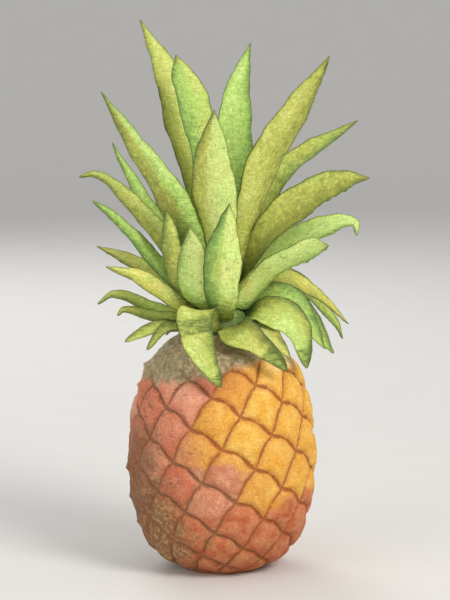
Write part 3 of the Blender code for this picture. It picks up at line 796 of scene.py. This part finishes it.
def blade(
    route,
    turn,
    width,
    widest_at,
    seed,
    root_share=ROOT_WIDTH_SHARE,
    thickness=LEAF_THICKNESS,
    pieces=(LEAF_LENGTHWISE, LEAF_ACROSS),
    bluntness=TIP_BLUNTNESS,
    torn=0.0,
    tip=TIP_HALF_WIDTH,
):
    """Points, faces and values of one leaf: a closed skin round its curved, channelled blade."""
    lengthwise, across_pieces = pieces
    midline = smooth_curve(route, lengthwise + 1)
    length = np.linalg.norm(np.diff(midline, axis=0), axis=1).sum()
    share = np.linspace(0, 1, lengthwise + 1)
    stations = share[:, None] * length
    out = np.linalg.norm(midline[:, :2], axis=1)
    along = unit(np.gradient(midline, axis=0))
    sideways = unit(np.stack([-midline[:, 1], midline[:, 0], 0 * out], 1))
    sideways = unit(sideways - (sideways * along).sum(1, keepdims=True) * along)
    inward = np.cross(along, sideways)
    twist = (math.radians(turn) * smooth_step(TURN_STARTS, TURN_ENDS, share))[:, None]
    sideways, inward = (
        sideways * np.cos(twist) + inward * np.sin(twist),
        inward * np.cos(twist) - sideways * np.sin(twist),
    )
    bend = np.minimum(out / np.maximum(LEAST_SLOPE, along[:, 2]), width)
    root_half_width = min(root_share * width, ROOT_WRAP * out[0])
    half = half_widths(share, length, width, widest_at, root_half_width, bluntness, tip)

    # Each ring runs from edge to edge on the inner face, and back on the outer one
    turns = np.linspace(-1, 1, across_pieces + 1)
    turns = np.concatenate([turns, turns[-2:0:-1]])[None, :]
    face = np.concatenate([np.ones(across_pieces + 1), -np.ones(across_pieces - 1)])[None, :]

    # The outline wavers, each edge in its own way, and one edge may be torn
    draw = np.random.default_rng(seed)
    waver = edge_waves(draw, WAVER_LENGTHS, stations, turns) * WAVER_SHARE
    waver = waver * np.abs(turns) * smooth_step(0, 0.2, share)[:, None]
    waver = waver * np.minimum(1, half / 6)[:, None]
    notches = notches_along(stations[:, 0], seed) * smooth_step(0.25, 0.6, share)
    torn_edge = np.clip(turns * np.sign(torn), 0, 1) ** 4
    waver = waver + NOTCH_DEPTH * abs(torn) * notches[:, None] * torn_edge

    sweep = (half[:, None] * turns / bend[:, None])[..., None]
    sideways, inward = sideways[:, None, :], inward[:, None, :]
    arc = bend[:, None, None] * (sideways * np.sin(sweep) + inward * (1 - np.cos(sweep)))
    normal = inward * np.cos(sweep) - sideways * np.sin(sweep)
    tangent = sideways * np.cos(sweep) + inward * np.sin(sweep)

    # Thick along the middle, thin at the edges, with fine ribs lengthwise and ruffled edges
    full = thickness / 2 * (1 - 0.55 * smooth_step(0.6, 1.0, share))[:, None]
    body = EDGE_THICKNESS / 2 + (full - EDGE_THICKNESS / 2) * (1 - np.abs(turns) ** 2.5)
    ribs = RIB_HEIGHT * np.cos(turns * half[:, None] / RIB_SPACING * 2 * math.pi)
    ribs = ribs * (1 - turns**2) * np.minimum(1, half / 5)[:, None]
    ruffle = edge_waves(draw, RUFFLE_LENGTHS, stations, turns) * RUFFLE_SHARE
    ruffle = ruffle * turns**2 * (smooth_step(0.15, 0.5, share) * np.minimum(1, half / 8))[:, None]
    ruffle = ruffle * (1 - 0.6 * smooth_step(0.7, 1, share))[:, None]
    offset = face * body + ribs + ruffle
    points = midline[:, None, :] + arc + offset[..., None] * normal
    points = points + (waver * np.sign(turns))[..., None] * tangent

    ones = np.ones_like(offset)
    values = {
        "share": (share[:, None] * ones).ravel(),
        "across": (turns * ones).ravel(),
        "edge": ((1 - np.abs(turns)) * half[:, None] * ones).ravel(),
        "reach": (stations * ones).ravel(),
        "seed": np.full(offset.size, (seed * 0.618) % 1),
    }
    return points.reshape(-1, 3), tube_faces(lengthwise + 1, turns.shape[1]), values


def band(share, start, end, blur_in, blur_out):
    """1 between two shares of the length, and 0 outside them."""
    risen = smooth_step(start - blur_in, start + blur_in, share)
    return risen * (1 - smooth_step(end - blur_out, end + blur_out, share))


def make_leaf(name, route, turn, width, widest_at, green, material):
    """One leaf, with the values that its paint reads: how light, green, shaded and warm it is."""
    points, faces, values = blade(
        route,
        turn,
        width + WIDER.get(name, 0),
        widest_at,
        sum(ord(letter) * place for place, letter in enumerate(name, 1)),
        NARROWER_ROOTS.get(name, ROOT_WIDTH_SHARE),
        bluntness=BLUNTNESS.get(name, TIP_BLUNTNESS),
        torn=TORN.get(name, LEAST_TORN),
        tip=ROUND_TIPS.get(name, TIP_HALF_WIDTH),
    )
    light, shade_half, shade_half_from, shaded, olive = LEAF_LOOKS.get(name, OTHER_LOOKS)

    # The ring at the middle of the blade tells which of its halves is the dark one, which takes painted
    # shade
    ring = 2 * LEAF_ACROSS
    middle = points.reshape(-1, ring, 3)[len(points) // 2 // ring]
    toward = (middle[LEAF_ACROSS] - middle[0]) @ np.array((-1 if shade_half > 0 else 1, 0, -0.5))
    dark_side = values["across"] * (1 if toward > 0 else -1)
    share = values["share"]
    values["light"] = np.full(len(points), light)
    # Painted shade over the dark half of the blade, which also turns more olive there
    values["shade_half"] = abs(shade_half) * np.tanh((dark_side - shade_half_from) * 3)
    values["green"] = green - olive * np.clip(values["shade_half"] * 1.5, -1, 1)
    values["shaded"] = np.clip(1 - share / shaded, 0, 1)
    for start, end in DARK_BANDS.get(name, ()):
        values["shaded"] = np.maximum(values["shaded"], 0.8 * band(share, start, end, 0.03, 0.01))
    values["warm"] = band(share, *WARM_BANDS.get(name, PAST_THE_TIP), 0.1, 0.1)
    piece = make_piece(f"blade_{name}", points, faces, values)
    piece.data.materials.append(material)
    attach(piece, "root")
    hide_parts(f"leaf_{name}")


def paint_leaf():
    p = Paint("pineapple_leaf", roughness=0.55, specular=0.25)
    place = p.place()
    edge, shade_half, shaded = p.attribute("edge"), p.attribute("shade_half"), p.attribute("shaded")
    broad = p.noise(place, 0.05, 3.0, 0.6)
    soft = p.noise(place, 0.16, 4.0, 0.65)
    blots = p.noise(place, 0.4, 3.0, 0.6)
    fine = p.noise(place, 0.75, 3.0, 0.7)
    hatch = p.noise(place, 0.55, 2.0, 0.6, (0.3, 0.3, 2.4))
    along_blade = {
        0: p.times(p.attribute("across"), 9.0),
        1: p.times(p.attribute("reach"), 0.06),
        2: p.times(p.attribute("seed"), 50.0),
    }
    veins = p.noise(p.node("ShaderNodeCombineXYZ", along_blade), 2.2, 2.0, 0.6)

    # Four shades, from olive to green, that follow the light on the blade
    green = p.add(p.attribute("green"), p.swing(broad, 1.1))
    greener = p.between(green, 0.1, 0.9)
    dark = p.mix(greener, tint("757a3c"), tint("5b8147"))
    deep = p.mix(greener, tint("9da04c"), tint("88ab57"))
    mid = p.mix(greener, tint("c2c562"), tint("aecd6a"))
    pale = p.mix(greener, tint("e0e48c"), tint("cfe78c"))
    tone = p.add(p.attribute("light"), p.swing(soft, 1.3))
    tone = p.add(tone, p.swing(blots, 0.9))
    # Painted shade on the dark half, and towards the root and the edges
    tone = p.minus(tone, p.times(shade_half, 0.42))
    tone = p.minus(tone, p.times(shaded, 0.65))
    tone = p.minus(tone, p.between(edge, 2.6, 0.3, 0.0, 0.4))
    leaf = p.mix(p.between(tone, -0.3, 0.15), dark, deep)
    leaf = p.mix(p.between(tone, 0.15, 0.6), leaf, mid)
    leaf = p.mix(p.between(tone, 0.6, 1.1), leaf, pale)

    # Warm and dry places, painted yellow highlights, and hatching in the painted shade and along the dark
    # half
    warm = p.times(p.attribute("warm"), p.between(soft, 0.42, 0.62, 0.0, 0.5))
    leaf = p.mix(warm, leaf, tint("e0c85e"))
    leaf = p.mix(p.between(p.attribute("share"), 0.93, 1.0, 0.0, 0.5), leaf, tint("8f7a3a"))
    dim = p.between(p.times(shaded, p.between(hatch, 0.6, 0.35)), 0.1, 0.7, 0.0, 0.6)
    leaf = p.mix(dim, leaf, tint("566a33"))
    # Painted yellow highlights in blots on the olive blades, where their tone is light
    yellow_highlight = p.times(p.between(green, 1.0, 0.3), p.between(blots, 0.5, 0.68, 0.0, 0.3))
    leaf = p.mix(p.times(yellow_highlight, p.between(tone, 0.2, 0.6)), leaf, tint("e2d66c"))
    # Painted shade in a hatched band along the edges of the dark half
    edge_shade = p.times(p.between(edge, 6.0, 0.4), p.between(shade_half, -0.1, 0.35))
    leaf = p.mix(p.times(edge_shade, p.between(hatch, 0.65, 0.35, 0.25, 0.7)), leaf, tint("5d7038"))
    leaf = p.mix(p.between(edge, 0.75, 0.3, 0.0, 0.6), leaf, tint("4c5a2f"))

    leaf = p.mottle(leaf, veins, (0.35, 0.65), (0.85, 0.88, 0.82), (1.07, 1.06, 1.04), 0.8)
    leaf = p.mottle(leaf, fine, (0.3, 0.7), (0.78, 0.8, 0.74), (1.16, 1.15, 1.14), 0.8)
    leaf = p.mottle(leaf, hatch, (0.38, 0.62), (0.88, 0.89, 0.86), (1.08, 1.08, 1.07), 0.6)
    crack = p.times(p.cracks(place, 0.07), p.between(soft, 0.5, 0.58))
    leaf = p.mix(p.times(crack, p.between(blots, 0.4, 0.55, 0.05, 0.4)), leaf, tint("5f6a34"))
    p.feed(p.shader.inputs["Base Color"], leaf)
    relief = p.bump(veins, 0.35, 0.6)
    relief = p.bump(fine, 0.35, 0.6, relief)
    p.feed(p.shader.inputs["Normal"], relief)
    return p.material


def make_leaves():
    material = paint_leaf()
    for name, place, turn, width, widest_at, green, points in FRONT_LEAVES:
        make_leaf(name, [leaf_root(place)[1], *points], turn, width, widest_at, green, material)
    draw = random.Random(RULE_SEED)
    for kind, (places, length, width) in RULE_LEAVES.items():
        for count, place in enumerate(places, 1):
            name = f"{kind}_{count:02d}"
            route = rule_route(place, length - SHORTER_EACH_PLACE * place, draw)
            narrower = width - NARROWER_EACH_PLACE * place
            green = RULE_LEAST_GREEN + RULE_GREEN_SPREAD * ((count * 0.618) % 1)
            make_leaf(name, route, 0, narrower, RULE_WIDEST_AT, green, material)
    return material


def make_heart(material):
    """Stem of the crown, with the leaf bases pressed on it, its bud, and the young leaves."""
    base = FRUIT_TOP + GAP
    stem_top = base + CROWN_STEM_HEIGHT
    side = np.array([
        (CROWN_STEM_BOTTOM_RADIUS, base),
        (CROWN_STEM_TOP_RADIUS, stem_top),
        (BUD_RADIUS, stem_top + BUD_SHOULDER),
        (BUD_TIP_RADIUS, stem_top + BUD_HEIGHT),
    ])
    lengths = np.concatenate([[0], np.cumsum(np.linalg.norm(np.diff(side, axis=0), axis=1))])
    wanted = np.linspace(0, lengths[-1], HEART_RINGS)
    radius, height = (np.interp(wanted, lengths, column)[:, None] for column in side.T)
    turns = np.linspace(0, 1, HEART_AROUND, endpoint=False)[None, :]
    row = (height - base) / SCALE_PITCH
    scale = np.abs((row + turns * STEEP_ROWS) % 1 - 0.5) + np.abs((row - turns * FLAT_ROWS) % 1 - 0.5)
    bump = SCALE_HEIGHT * (0.5 - scale) * np.clip(radius / SCALES_FADE_BELOW_RADIUS, 0, 1)
    points = on_ray(2 * math.pi * turns, radius + bump, height).reshape(-1, 3)
    faces = tube_faces(HEART_RINGS, HEART_AROUND)
    values = {key: np.full(len(points), value) for key, value in STEM_VALUES.items()}
    values["reach"] = points[:, 2]
    for k in range(YOUNG_LEAVES):
        turn = math.radians(FIRST_LEAF_ANGLE - GOLDEN_ANGLE * (k + 1))
        bottom = stem_top - YOUNG_LEAF_SINK - k
        spread = YOUNG_LEAF_SPREAD + k
        route = [
            on_ray(turn, BUD_RADIUS, bottom),
            on_ray(turn, BUD_RADIUS + spread / 3, bottom + YOUNG_LEAF_LENGTH / 2),
            on_ray(turn, BUD_RADIUS + spread, bottom + YOUNG_LEAF_LENGTH),
        ]
        more, more_faces, more_values = blade(
            route,
            0,
            YOUNG_LEAF_WIDTH,
            YOUNG_LEAF_WIDEST_AT,
            k + 1,
            thickness=YOUNG_LEAF_THICKNESS,
            pieces=YOUNG_LEAF_PIECES,
        )
        faces += [[number + len(points) for number in face] for face in more_faces]
        points = np.concatenate([points, more])
        values = {key: np.concatenate([values[key], more_values[key]]) for key in values}
    values.update({key: np.full(len(points), value) for key, value in HEART_VALUES.items()})
    piece = make_piece("heart", points, faces, values)
    piece.data.materials.append(material)
    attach(piece, "root")
    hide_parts("crown_heart")


def paint_cut():
    p = Paint("cut_stem_face", roughness=0.8, specular=0.2)
    place = p.place()
    fibres = p.noise(place, 1.2, 3.0, 0.6)
    inputs = {"Vector": place, "Scale": 0.12, "Distortion": 3.0}
    rings = p.node("ShaderNodeTexWave", inputs, "Fac", wave_type="RINGS", rings_direction="Z")
    colour = p.mix(p.between(fibres, 0.3, 0.7), tint("8d7248"), tint("c7ad7c"))
    colour = p.mix(p.between(rings, 0.2, 0.8, 0.0, 0.4), colour, tint("6d5232"))
    p.feed(p.shader.inputs["Base Color"], colour)
    p.feed(p.shader.inputs["Normal"], p.bump(fibres, 0.6))
    return p.material


# Floor, lights and camera


def make_stage():
    """A round floor that curves up into a low wall, far beyond the pineapple."""
    bend = [math.radians(step * 5) for step in range(0, 17)]
    side = [(0.02, 0.0), (0.4, 0.0), (1.2, 0.0), (FLOOR_RADIUS, 0.0)]
    side += [
        (FLOOR_RADIUS + COVE_RADIUS * math.sin(a), COVE_RADIUS * (1 - math.cos(a)))
        for a in bend[1:]
    ]
    around = 96
    points = [
        (r * math.cos(2 * math.pi * k / around), r * math.sin(2 * math.pi * k / around), z)
        for r, z in side
        for k in range(around)
    ]
    faces = [tuple(range(around))]
    for ring in range(len(side) - 1):
        for k in range(around):
            nxt = (k + 1) % around
            low, high = ring * around, (ring + 1) * around
            faces.append((low + k, high + k, high + nxt, low + nxt))
    mesh = bpy.data.meshes.new("floor")
    mesh.from_pydata(points, [], faces)
    mesh.shade_smooth()
    floor = bpy.data.objects.new("floor", mesh)
    bpy.context.scene.collection.objects.link(floor)
    p = Paint("floor_paper", roughness=0.9, specular=0.1)
    place = p.place()
    p.feed(p.shader.inputs["Base Color"], p.mix(p.noise(place, 0.02), tint("dcdad6"), tint("e0deda")))
    floor.data.materials.append(p.material)


def make_light(name, place, aim, size, power, colour):
    data = bpy.data.lights.new(name, "AREA")
    data.shape = "DISK"
    data.size = size
    data.energy = power
    data.color = colour
    lamp = bpy.data.objects.new(name, data)
    lamp.location = place
    lamp.rotation_euler = (Vector(aim) - Vector(place)).to_track_quat("-Z", "Y").to_euler()
    bpy.context.scene.collection.objects.link(lamp)


def make_lights():
    aim = (0, 0, 0.18)
    make_light("key", (1.2, -1.4, 1.5), aim, 1.0, 34, (1.0, 0.98, 0.95))
    make_light("fill", (-1.5, -1.5, 0.7), aim, 1.6, 13, (0.97, 0.98, 1.0))
    make_light("edge_shade", (-0.6, 1.6, 1.4), aim, 1.2, 14, (1.0, 1.0, 1.0))
    world = bpy.data.worlds.new("studio")
    bpy.context.scene.world = world
    world.use_nodes = True
    background = world.node_tree.nodes["Background"]
    background.inputs["Color"].default_value = (0.86, 0.87, 0.88, 1)
    background.inputs["Strength"].default_value = 0.62


def make_camera():
    """A camera whose sensor lies lengthwise along the picture's height."""
    data = bpy.data.cameras.new("camera")
    data.sensor_width = CAMERA_SENSOR
    data.lens = data.sensor_width * CAMERA_DISTANCE / (MM_PER_PIXEL * MM * PICTURE_HEIGHT)
    camera = bpy.data.objects.new("camera", data)
    back = Vector((0, -math.cos(CAMERA_ELEVATION), math.sin(CAMERA_ELEVATION)))
    camera.location = Vector(CAMERA_AIM) + back * CAMERA_DISTANCE
    camera.rotation_euler = (-back).to_track_quat("-Z", "Y").to_euler()
    bpy.context.scene.collection.objects.link(camera)
    bpy.context.scene.camera = camera


make_camera()
make_lights()
make_stage()
bpy.context.scene.view_settings.view_transform = "Standard"
skin = make_skin()
skin.data.materials.append(paint_skin())
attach(skin, "root")
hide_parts("fruit")
leaf_material = make_leaves()
make_heart(leaf_material)
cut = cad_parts["cut_stem"]
cut.data.materials.clear()
cut.data.materials.append(paint_cut())
